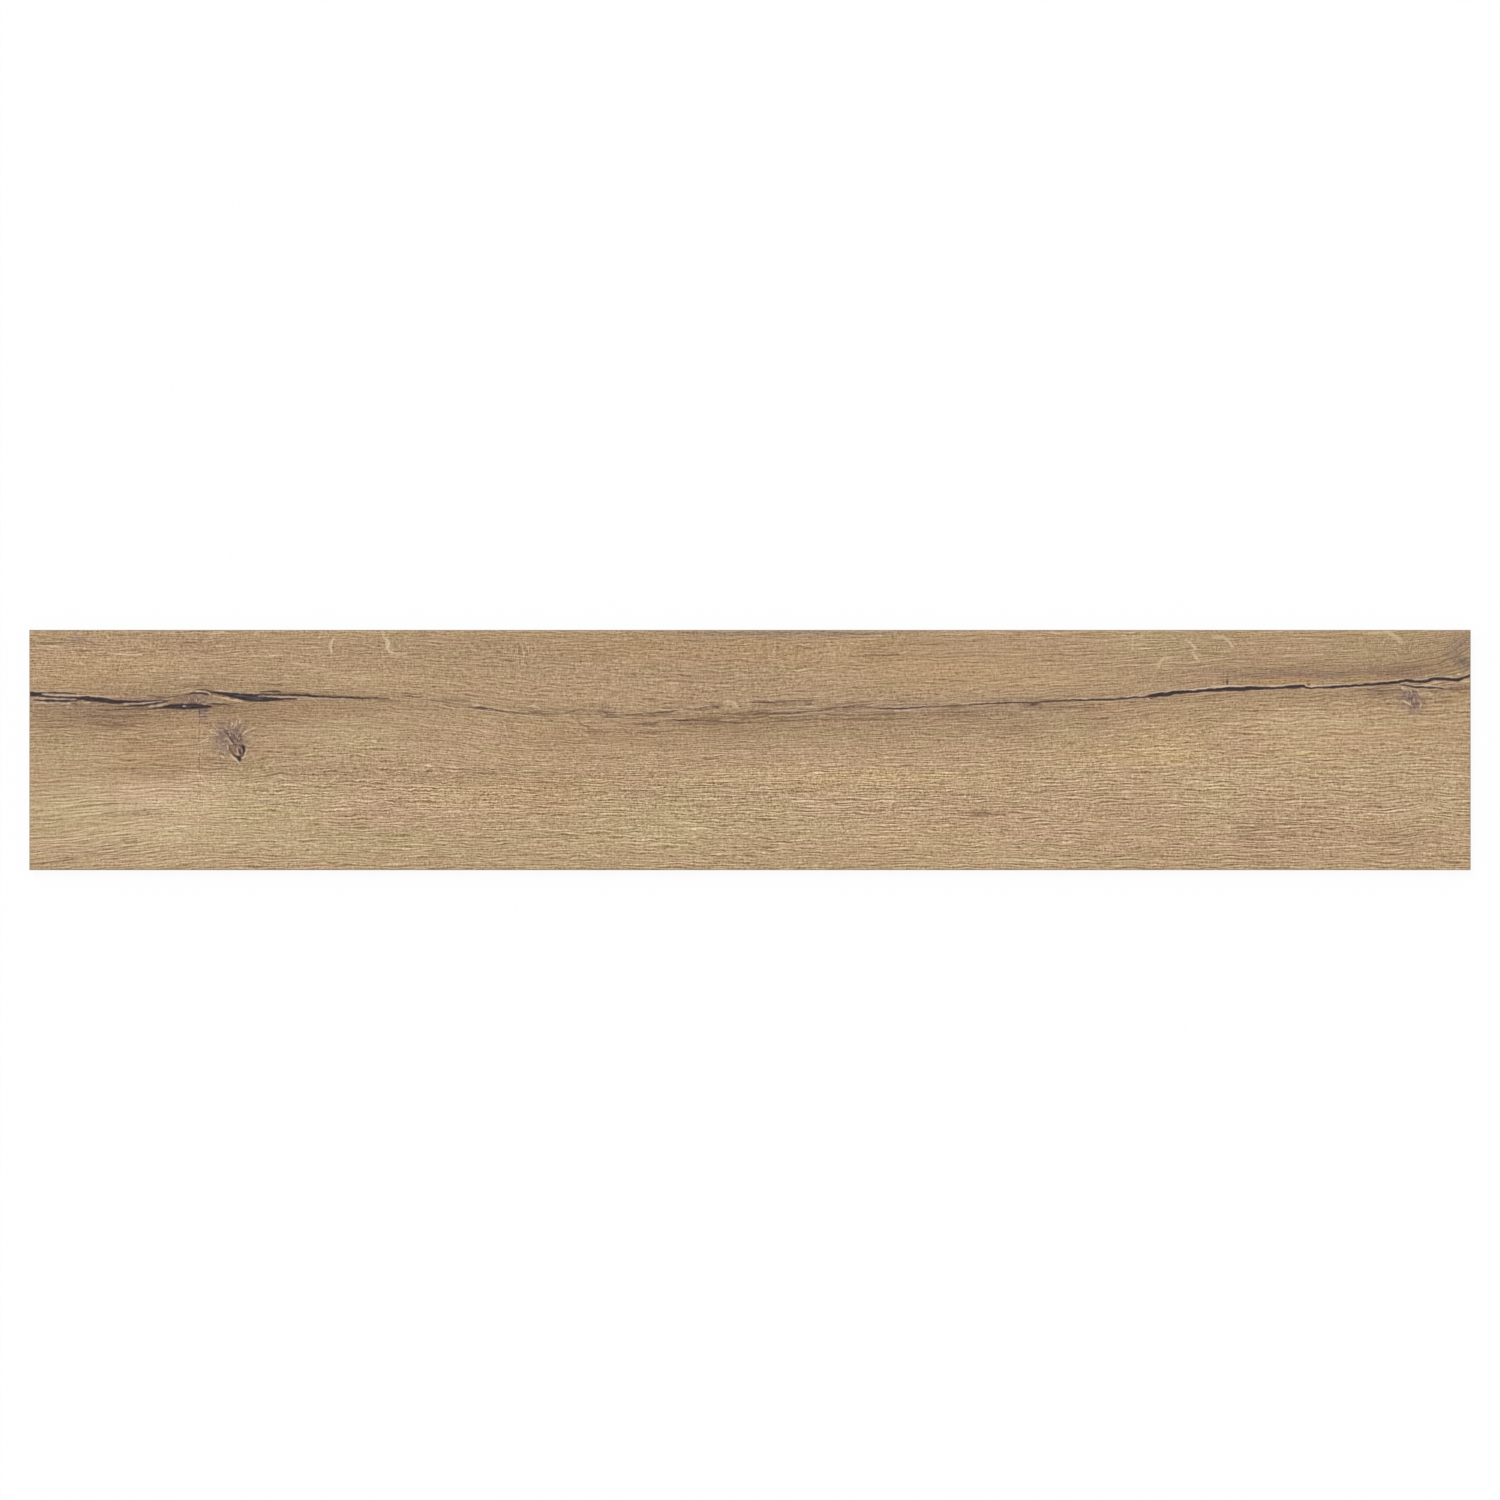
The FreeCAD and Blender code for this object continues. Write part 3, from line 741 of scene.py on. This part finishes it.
def cad_back():
    """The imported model's downward faces, which are its pockets, ribs, land and back bevel."""
    bm = bmesh.new()
    bm.from_mesh(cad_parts["plank_tile"].data)
    bmesh.ops.remove_doubles(bm, verts=bm.verts, dist=1e-6)
    upward = [face for face in bm.faces if face.normal.z > -0.1]
    bmesh.ops.delete(bm, geom=upward, context="FACES")
    places = [tuple(vertex.co) for vertex in bm.verts]
    faces = [[vertex.index for vertex in face.verts] for face in bm.faces]
    bm.free()
    return places, faces


GLAZE, GROUND, BACK = range(3)


def bevel_faces(sides, below):
    """The bevel's faces, from the face's rim out and down to the square outline."""
    faces = []
    for side in sides:
        for a, b in zip(side.tolist(), side.tolist()[1:]):
            faces.append([a, below[a], below[b], b])
    return faces


def wall_faces(sides, below, grown, back, first):
    """The four walls, each one flat face from the outline down to two corners of the back."""
    faces = []
    for side in sides:
        ends = []
        for corner in (grown[side[0]], grown[side[-1]]):
            away = np.hypot(back[:, 0] - corner[0], back[:, 1] - corner[1])
            ends.append(first + int(away.argmin()))
        faces.append([below[i] for i in side[::-1].tolist()] + ends)
    return faces


def tile_mesh():
    """The whole tile as one closed mesh, with the fields of its face as attributes."""
    x, y, faces, sides = face_grid()
    fields = face_fields(x, y)
    points = np.column_stack((x * MM, y * MM, THICKNESS - face_depth(x, y, fields)))
    kinds = [GLAZE] * len(faces)

    rim = np.concatenate([side[:-1] for side in sides])
    below = {int(top): len(points) + i for i, top in enumerate(rim)}
    grown = points[:, :2] * (LENGTH / (LENGTH - 2 * FACE_BEVEL), WIDTH / (WIDTH - 2 * FACE_BEVEL))
    outline = np.column_stack((grown[rim], np.full(len(rim), THICKNESS - FACE_BEVEL)))
    back_points, back_faces = cad_back()
    back = np.array(back_points)
    first = len(points) + len(outline)
    faces += bevel_faces(sides, below)
    faces += wall_faces(sides, below, grown, back, first)
    kinds += [GROUND] * (len(faces) - len(kinds))
    faces += [[first + i for i in face] for face in back_faces]
    kinds += [BACK] * len(back_faces)

    mesh = bpy.data.meshes.new("tile")
    mesh.from_pydata(np.concatenate((points, outline, back)).tolist(), [], faces)
    mesh.polygons.foreach_set("material_index", kinds)
    mesh.polygons.foreach_set("use_smooth", [kind == GLAZE for kind in kinds])
    write_fields(mesh, fields, rim)
    lay_out(mesh, kinds)
    mesh.update()
    return mesh


def write_fields(mesh, fields, rim):
    """Stores the fields as attributes. The outline repeats those of the rim, the back has none."""
    for name, field in fields.items():
        vector = field.ndim == 2
        flat = field.reshape(len(field), -1)
        values = np.zeros((len(mesh.vertices), flat.shape[1]))
        values[:len(flat)] = flat
        values[len(flat):len(flat) + len(rim)] = flat[rim]
        attribute = mesh.attributes.new(name, "FLOAT_VECTOR" if vector else "FLOAT", "POINT")
        attribute.data.foreach_set("vector" if vector else "value", values.ravel())


# The UV square, from the bottom up: the back, the long walls, the end walls and the face.
UV_ACROSS = (0.005, 0.995)
UV_BACK = (0.005, 0.135)
UV_LONG_WALLS = ((0.145, 0.159), (0.164, 0.178))
UV_END_WALLS = (0.183, 0.197)
UV_END_WALLS_ACROSS = ((0.005, 0.455), (0.505, 0.955))
UV_FACE = (0.205, 0.995)


def within(band, share):
    """A place between a band's two ends."""
    return band[0] + (band[1] - band[0]) * share


def lay_out(mesh, kinds):
    """The UV map, which gives most of the square to the face."""
    uv_layer = mesh.uv_layers.new(name="OFBake")
    places = np.array([tuple(vertex.co) for vertex in mesh.vertices])
    loops = np.empty(len(mesh.loops), int)
    mesh.loops.foreach_get("vertex_index", loops)
    counts = np.array([polygon.loop_total for polygon in mesh.polygons])
    kind = np.repeat(kinds, counts)
    normals = np.repeat([tuple(polygon.normal) for polygon in mesh.polygons], counts, axis=0)
    along = places[loops, 0] / LENGTH + 0.5
    across = places[loops, 1] / WIDTH + 0.5
    up = places[loops, 2] / THICKNESS
    u = within(UV_ACROSS, along)
    v = within(UV_FACE, across)
    v[kind == BACK] = within(UV_BACK, across[kind == BACK])
    upright = (kind == GROUND) & (abs(normals[:, 2]) < 0.1)
    for side, way in enumerate((-1, 1)):
        long_wall = upright & (way * normals[:, 1] > 0.5)
        v[long_wall] = within(UV_LONG_WALLS[side], up[long_wall])
        end_wall = upright & (way * normals[:, 0] > 0.5)
        u[end_wall] = within(UV_END_WALLS_ACROSS[side], across[end_wall])
        v[end_wall] = within(UV_END_WALLS, up[end_wall])
    uv_layer.data.foreach_set("uv", np.column_stack((u, v)).ravel())


# Materials

def feed(tree, socket, value):
    """Links a socket to another one's output, or gives it a plain value."""
    if isinstance(value, bpy.types.NodeSocket):
        tree.links.new(value, socket)
    elif socket.type == "RGBA":
        socket.default_value = (*value, 1)
    else:
        socket.default_value = value


def add_node(tree, kind, inputs, output=0, **settings):
    """A new node with its settings and inputs, which gives back one of its outputs."""
    node = tree.nodes.new(kind)
    for name, value in settings.items():
        setattr(node, name, value)
    for name, value in inputs.items():
        feed(tree, node.inputs[name], value)
    return node.outputs[output]


class Look:
    """One material. Each method adds nodes and gives back the socket that they fill."""

    def __init__(self, name):
        self.material = bpy.data.materials.new(name)
        self.material.use_nodes = True
        self.tree = self.material.node_tree

    def node(self, kind, inputs, output=0, **settings):
        return add_node(self.tree, kind, inputs, output, **settings)

    def field(self, name, output="Fac"):
        """A field of the face, as a number, a vector or a colour."""
        return self.node("ShaderNodeAttribute", {}, output, attribute_name=name)

    def math(self, operation, a, b=0.0):
        return self.node("ShaderNodeMath", {0: a, 1: b}, operation=operation)

    def times(self, a, b):
        return self.math("MULTIPLY", a, b)

    def vector(self, operation, a, b):
        return self.node("ShaderNodeVectorMath", {0: a, 1: b}, operation=operation)

    def part(self, vector, axis):
        return self.node("ShaderNodeSeparateXYZ", {0: vector}, axis)

    def upward(self, amount):
        return self.node("ShaderNodeCombineXYZ", {"Y": amount})

    def place(self):
        """Where a point lies on the tile, in millimetres."""
        point = self.node("ShaderNodeTexCoord", {}, "Object")
        return self.vector("MULTIPLY", point, (1 / MM, 1 / MM, 1 / MM))

    def step(self, value, low, high, to_low=0.0, to_high=1.0):
        """A soft step between two values."""
        inputs = {"Value": value, "From Min": low, "From Max": high,
                  "To Min": to_low, "To Max": to_high}
        return self.node("ShaderNodeMapRange", inputs, interpolation_type="SMOOTHSTEP")

    def below(self, value, low, high):
        """1 under low and 0 over high."""
        return self.step(value, low, high, 1.0, 0.0)

    def thin_lines(self, value, width):
        """1 where the value crosses 0."""
        return self.below(self.math("ABSOLUTE", value), 0.0, width)

    def noise(self, vector, scales, detail, shift=(0, 0, 0)):
        """Noise from 0 to 1, with this many waves to a unit each way."""
        moved = self.vector("ADD", self.vector("MULTIPLY", vector, scales), shift)
        return self.node("ShaderNodeTexNoise", {"Vector": moved, "Scale": 1.0, "Detail": detail})

    def streaks(self, vector, length, height, seed, detail=0.0):
        """Noise from -0.5 to 0.5, drawn out to about this length and height."""
        scales = (1 / length, 1 / height, 1 / height)
        noise = self.noise(vector, scales, detail, (17.3 * seed, 5.1 * seed, 9.7 * seed))
        return self.math("SUBTRACT", noise, 0.5)

    def fibres(self, vector, length, height, seed):
        """Streaks that are dark on one side and pale on the other, and keep the broad tone."""
        shifted = self.vector("ADD", vector, (0, 1.3 * height, 0))
        pair = [self.streaks(place, length, height, seed) for place in (vector, shifted)]
        return self.math("SUBTRACT", pair[0], pair[1])

    def ripples(self, vector, spacing, length, seed):
        """Waves from -1 to 1 across y, about this far apart, that drift out of step in a length."""
        drift = self.times(self.streaks(vector, length, 1.6 * spacing, seed), 10.0)
        rise = self.times(self.part(vector, "Y"), 2 * np.pi / spacing)
        return self.math("SINE", self.math("ADD", rise, drift))

    def total(self, parts):
        """The sum of sockets, each with a weight."""
        result = 0.0
        for socket, weight in parts:
            result = self.math("ADD", result, self.times(socket, weight))
        return result

    def ramp(self, value, stops):
        """A colour from dark to pale."""
        colour = self.node("ShaderNodeValToRGB", {0: value})
        elements = colour.node.color_ramp.elements
        while len(elements) < len(stops):
            elements.new(1.0)
        for element, (position, stop) in zip(elements, stops):
            element.position = position
            element.color = (*stop, 1)
        return colour

    def blend(self, share, a, b, mode="MIX"):
        """The first colour, with this share of the second."""
        inputs = {0: share, 6: a, 7: b}
        return self.node("ShaderNodeMix", inputs, 2, data_type="RGBA", blend_type=mode)

    def paint(self, under, where, strength, colour):
        """A colour laid over another, where the mask says and as strongly as this."""
        return self.blend(self.times(where, strength), under, colour)

    def finish(self, colour, roughness, height, relief, specular):
        """Feeds the shader. The bump is as deep as the relief, in metres, for a height of 1."""
        shader = self.tree.nodes["Principled BSDF"]
        feed(self.tree, shader.inputs["Base Color"], colour)
        feed(self.tree, shader.inputs["Roughness"], roughness)
        normal = self.node("ShaderNodeBump", {"Distance": relief, "Height": height})
        feed(self.tree, shader.inputs["Normal"], normal)
        shader.inputs["Specular IOR Level"].default_value = specular
        return self.material


GRAIN_STOPS = [
    (0.0, tone(105, 76, 44)),
    (0.25, tone(147, 118, 84)),
    (0.5, tone(176, 148, 114)),
    (0.75, tone(202, 174, 140)),
    (1.0, tone(233, 205, 171)),
]


def curled_fibres(look):
    """The fibre coordinates, with a small ragged wobble where the figure is curly."""
    fibre = look.field("fibre", "Vector")
    wobble = look.streaks(fibre, 3.4, 2.6, 11, 1.0)
    wobble = look.times(wobble, look.times(look.field("curl"), 2.6))
    return look.vector("ADD", fibre, look.upward(wobble))


def fibre_lines(look, fibre, calm):
    """Thin lines along the grain, finer where the face is lined and bolder where it is calm."""
    lined = look.field("lined")
    waves = look.times(look.ripples(fibre, 2.35, 15, 18), look.step(lined, 0, 1, 1.0, 0.6))
    lines = look.total([
        (waves, 0.155),
        (look.ripples(fibre, 3.3, 18, 3), 0.07),
        (look.thin_lines(look.streaks(fibre, 45, 1.7, 5), 0.07), 0.05),
        (look.thin_lines(look.streaks(fibre, 30, 1.6, 6), 0.06), -0.08),
        (look.times(look.ripples(fibre, 2.5, 30, 24), lined), 0.23),
    ])
    bold = look.step(look.part(fibre, "Y"), -20, 60, 1.02, 0.64)
    return look.times(lines, look.times(bold, look.step(calm, 0, 1, 0.8, 1.2)))


def grain_flecks(look, fibre, calm):
    """Short flecks and pores, fainter where the face is lined or calm."""
    flecks = look.total([
        (look.streaks(fibre, 1.8, 2.2, 19), 0.34),
        (look.streaks(fibre, 2.5, 0.7, 10), 0.36),
        (look.streaks(fibre, 1.2, 0.7, 16), 0.28),
    ])
    flecks = look.times(flecks, look.step(calm, 0, 1, 1.2, 0.8))
    return look.times(flecks, look.step(look.field("lined"), 0, 1, 1.0, 0.8))


def oak_grain(look, fibre):
    """The grain's lightness, from dark at -0.5 to pale at 0.5."""
    calm = look.step(look.streaks(fibre, 50, 10, 7), -0.14, 0.14)
    sawn = look.math("ADD", look.field("saw"), 0.15)
    grain = look.total([
        (look.streaks(fibre, 120, 5, 1, 1.0), 0.07),
        (look.streaks(fibre, 50, 1.5, 2), 0.10),
        (look.fibres(fibre, 14, 0.7, 4), 0.22),
        (look.fibres(fibre, 5, 0.7, 9), 0.22),
        (fibre_lines(look, fibre, calm), 1.0),
        (grain_flecks(look, fibre, calm), 1.0),
        (look.times(look.streaks(fibre, 0.8, 4, 12), sawn), 0.8),
    ])
    return look.times(grain, look.field("boldness"))


def hue_clouds(look, fibre, wood):
    """Soft pink and green clouds, as in the wood's own colour."""
    clouds = look.streaks(fibre, 40, 10, 13, 1.0)
    pink = look.step(clouds, 0.02, 0.2)
    green = look.below(clouds, -0.2, -0.02)
    wood = look.blend(pink, wood, (1.022, 0.988, 1.02), "MULTIPLY")
    return look.blend(green, wood, (0.988, 1.008, 0.96), "MULTIPLY")


def seam_hairs(look, fibre, wood):
    """Dark and pale hairs that run beside the seams and the splits."""
    near_seam = look.below(look.field("seam_gap"), 0.4, 4.5)
    near_split = look.below(look.field("split_gap"), 0.3, 3.5)
    near = look.math("MAXIMUM", near_seam, look.times(near_split, 0.7))
    long_hairs = look.streaks(fibre, 26, 0.75, 21)
    short_hairs = look.streaks(fibre, 8, 0.8, 22)
    hairs = look.total([(long_hairs, 1.0), (short_hairs, 0.6)])
    dark = look.times(look.step(hairs, 0.0, 0.2), near)
    pale = look.times(look.below(hairs, -0.28, -0.08), near)
    wood = look.paint(wood, near, 0.12, tone(140, 113, 98))
    wood = look.paint(wood, dark, 0.6, tone(104, 77, 56))
    return look.paint(wood, pale, 0.6, tone(206, 184, 154))


def fanned_fibres(look, wood):
    """A dark haze with dark and pale strokes that fan out at a knot."""
    rays = look.field("rays", "Vector")
    plume = look.field("plume")
    cloudy = look.step(look.streaks(rays, 3, 3, 16, 2.0), -0.2, 0.2, 0.45, 0.95)
    long_strokes = look.streaks(rays, 5, 0.8, 14)
    short_strokes = look.streaks(rays, 2, 2, 15)
    strokes = look.total([(long_strokes, 1.0), (short_strokes, 0.6)])
    dark = look.times(look.step(strokes, 0.02, 0.22), plume)
    pale = look.times(look.below(strokes, -0.28, -0.1), plume)
    wood = look.paint(wood, look.times(plume, cloudy), 0.85, tone(130, 105, 95))
    wood = look.paint(wood, dark, 0.85, tone(94, 74, 70))
    return look.paint(wood, pale, 0.65, tone(204, 182, 152))


def broad_rays(look, wood):
    """The pale rays, broken up by their own fine flecks."""
    flecks = look.step(look.streaks(look.place(), 1.4, 0.9, 23), -0.2, 0.2, 0.4, 1.0)
    ray = look.times(look.below(look.field("ray_gap"), -0.7, 0.8), flecks)
    return look.paint(wood, ray, 0.85, tone(209, 186, 150))


def bright_lips(look, wood):
    """The lips of the splits, where they catch the light."""
    gap = look.field("split_gap")
    lip = look.times(look.step(gap, 0.15, 0.55), look.below(gap, 0.7, 1.7))
    return look.paint(wood, look.times(lip, look.field("lip")), 0.95, tone(216, 200, 182))


def dark_hairs(look, uneven, wood):
    """The traces and the seams, in two browns."""
    trace = look.below(look.field("trace_gap"), -0.45, 0.45)
    seam = look.below(look.field("seam_gap"), -0.35, 0.25)
    wood = look.paint(wood, look.times(trace, uneven), 0.8, tone(106, 79, 53))
    return look.paint(wood, look.times(seam, uneven), 0.9, tone(88, 58, 40))


def open_splits(look, fibre, wood):
    """The splits: brown at their lips, nearly black inside, and dusty where they are wide."""
    gap = look.field("split_gap")
    dusty = look.step(look.streaks(fibre, 9, 0.8, 16, 1.0), -0.06, 0.16)
    hollow = look.blend(look.below(gap, -0.75, -0.3), tone(84, 60, 50), tone(36, 21, 24))
    dust = look.times(dusty, look.below(gap, -2.3, -0.9))
    hollow = look.paint(hollow, dust, 0.75, tone(102, 92, 98))
    return look.paint(wood, look.below(gap, -0.25, 0.45), 0.98, hollow)


def pale_strokes(look, uneven, wood):
    """The pale fibres, which are greyer where they lie in a split."""
    by_split = look.below(look.field("split_gap"), 0.4, 1.6)
    fresh = look.blend(by_split, tone(216, 193, 160), tone(186, 168, 157))
    stroke = look.below(look.field("pale_gap"), -0.35, 0.5)
    return look.paint(wood, look.times(stroke, uneven), 0.85, fresh)


def glazed_oak():
    """The matt glaze over the printed oak."""
    look = Look("glazed_oak")
    fibre = curled_fibres(look)
    grain = oak_grain(look, fibre)
    uneven = look.step(look.streaks(look.place(), 4, 4, 15), -0.15, 0.15, 0.6, 1.0)
    wood = look.ramp(look.math("ADD", grain, 0.49), GRAIN_STOPS)
    wood = hue_clouds(look, fibre, wood)
    wood = look.blend(1.0, wood, look.field("tint", "Color"), "MULTIPLY")
    wood = seam_hairs(look, fibre, wood)
    wood = fanned_fibres(look, wood)
    wood = broad_rays(look, wood)
    wood = bright_lips(look, wood)
    wood = dark_hairs(look, uneven, wood)
    wood = open_splits(look, fibre, wood)
    wood = pale_strokes(look, uneven, wood)
    roughness = look.step(grain, -0.35, 0.35, 0.62, 0.48)
    return look.finish(wood, roughness, grain, 0.3 * MM, 0.25)


def ground_body():
    """The porcelain body where the edges and the bevels are ground."""
    look = Look("ground_body")
    place = look.place()
    grains = look.noise(place, (1.6, 1.6, 1.6), 2.0)
    scratches = look.noise(place, (0.03, 0.03, 3.5), 2.0)
    shade = look.total([(grains, 0.6), (scratches, 0.4)])
    body = look.ramp(shade, [
        (0.25, tone(138, 122, 103)),
        (0.5, tone(157, 141, 121)),
        (0.75, tone(176, 161, 141)),
    ])
    top = THICKNESS / MM
    glaze = look.step(look.part(place, "Z"), top - 0.32, top - 0.12)
    body = look.paint(body, glaze, 0.7, tone(128, 104, 80))
    roughness = look.step(shade, 0.3, 0.7, 0.62, 0.75)
    return look.finish(body, roughness, shade, 0.1 * MM, 0.3)


def pressed_back():
    """The unglazed back, with a kiln wash on its ribs and the faint tracks of the rollers."""
    look = Look("pressed_back")
    place = look.place()
    grains = look.noise(place, (0.9, 0.9, 0.9), 3.0)
    clouds = look.noise(place, (0.02, 0.03, 0.02), 3.0)
    rollers = look.noise(place, (0.045, 0.002, 0.0), 1.0)
    shade = look.total([(grains, 0.55), (clouds, 0.45)])
    body = look.ramp(shade, [
        (0.3, tone(146, 129, 109)),
        (0.5, tone(164, 147, 126)),
        (0.7, tone(182, 166, 146)),
    ])
    patchy = look.step(look.math("ADD", grains, rollers), 0.85, 1.15)
    ribs = look.below(look.part(place, "Z"), 0.05, 0.3)
    body = look.paint(body, look.times(ribs, patchy), 0.8, tone(216, 209, 197))
    roughness = look.step(shade, 0.3, 0.7, 0.78, 0.92)
    return look.finish(body, roughness, shade, 0.25 * MM, 0.25)


# The stage

def add_object(name, data):
    """A new object of the scene."""
    thing = bpy.data.objects.new(name, data)
    bpy.context.collection.objects.link(thing)
    return thing


def seen_share(tree):
    """1 for what the camera sees, straight, mirrored or through glass, and 0 for what lights."""
    share = add_node(tree, "ShaderNodeLightPath", {}, "Is Camera Ray")
    for name in ("Is Glossy Ray", "Is Transmission Ray"):
        other = add_node(tree, "ShaderNodeLightPath", {}, name)
        share = add_node(tree, "ShaderNodeMath", {0: share, 1: other}, operation="MAXIMUM")
    return share


def show_white(tree, lit, white, share, end):
    """Ends a tree: what is lit or lights, with this share of plain white over it."""
    mixed = add_node(tree, "ShaderNodeMixShader", {0: share, 1: lit.outputs[0], 2: white})
    tree.links.new(mixed, tree.nodes[end].inputs["Surface"])


def white_floor():
    """A wide white floor under the tile, which keeps a faint shadow."""
    half, z = FLOOR_HALF, -FLOOR_DROP
    corners = [(-half, -half, z), (half, -half, z), (half, half, z), (-half, half, z)]
    mesh = bpy.data.meshes.new("floor")
    mesh.from_pydata(corners, [], [(0, 1, 2, 3)])

    material = bpy.data.materials.new("floor_white")
    material.use_nodes = True
    tree = material.node_tree
    paper = tree.nodes["Principled BSDF"]
    feed(tree, paper.inputs["Base Color"], (FLOOR_PAPER, FLOOR_PAPER, FLOOR_PAPER))
    feed(tree, paper.inputs["Roughness"], 0.9)
    feed(tree, paper.inputs["Specular IOR Level"], 0.0)
    white = add_node(tree, "ShaderNodeEmission", {"Strength": 1.0})
    seen = seen_share(tree)
    share = add_node(tree, "ShaderNodeMath", {0: seen, 1: FLOOR_GLOW}, operation="MULTIPLY")
    show_white(tree, paper, white, share, "Material Output")
    mesh.materials.append(material)
    add_object("floor", mesh)


def studio_light():
    """An even sky all round, and one broad soft lamp from the upper left."""
    world = bpy.data.worlds.new("studio")
    bpy.context.scene.world = world
    world.use_nodes = True
    tree = world.node_tree
    sky = tree.nodes["Background"]
    feed(tree, sky.inputs["Color"], (1, 1, 1))
    feed(tree, sky.inputs["Strength"], SKY_LIGHT)
    backdrop = add_node(tree, "ShaderNodeBackground", {"Color": (1, 1, 1), "Strength": 1.0})
    show_white(tree, sky, backdrop, seen_share(tree), "World Output")

    lamp = bpy.data.lights.new("key", "SUN")
    lamp.angle = np.radians(KEY_SOFTNESS)
    lamp.energy = KEY_LIGHT * np.pi / np.sin(np.radians(KEY_ELEVATION))
    key = add_object("key", lamp)
    key.rotation_euler = (np.radians(90 - KEY_ELEVATION), 0, np.radians(KEY_AZIMUTH + 90))


def camera_above():
    """The photo's view: straight down on the middle of the face, through a long lens."""
    data = bpy.data.cameras.new("camera")
    data.lens = LENS
    data.sensor_width = SENSOR
    camera = add_object("camera", data)
    camera.location = (0, 0, THICKNESS + FRAME_WIDTH * LENS / SENSOR)
    bpy.context.scene.camera = camera


tile = add_object("tile", tile_mesh())
for finish in (glazed_oak(), ground_body(), pressed_back()):
    tile.data.materials.append(finish)
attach(tile, "root")
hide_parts("plank_tile")

white_floor()
studio_light()
camera_above()
bpy.context.scene.view_settings.view_transform = "Standard"
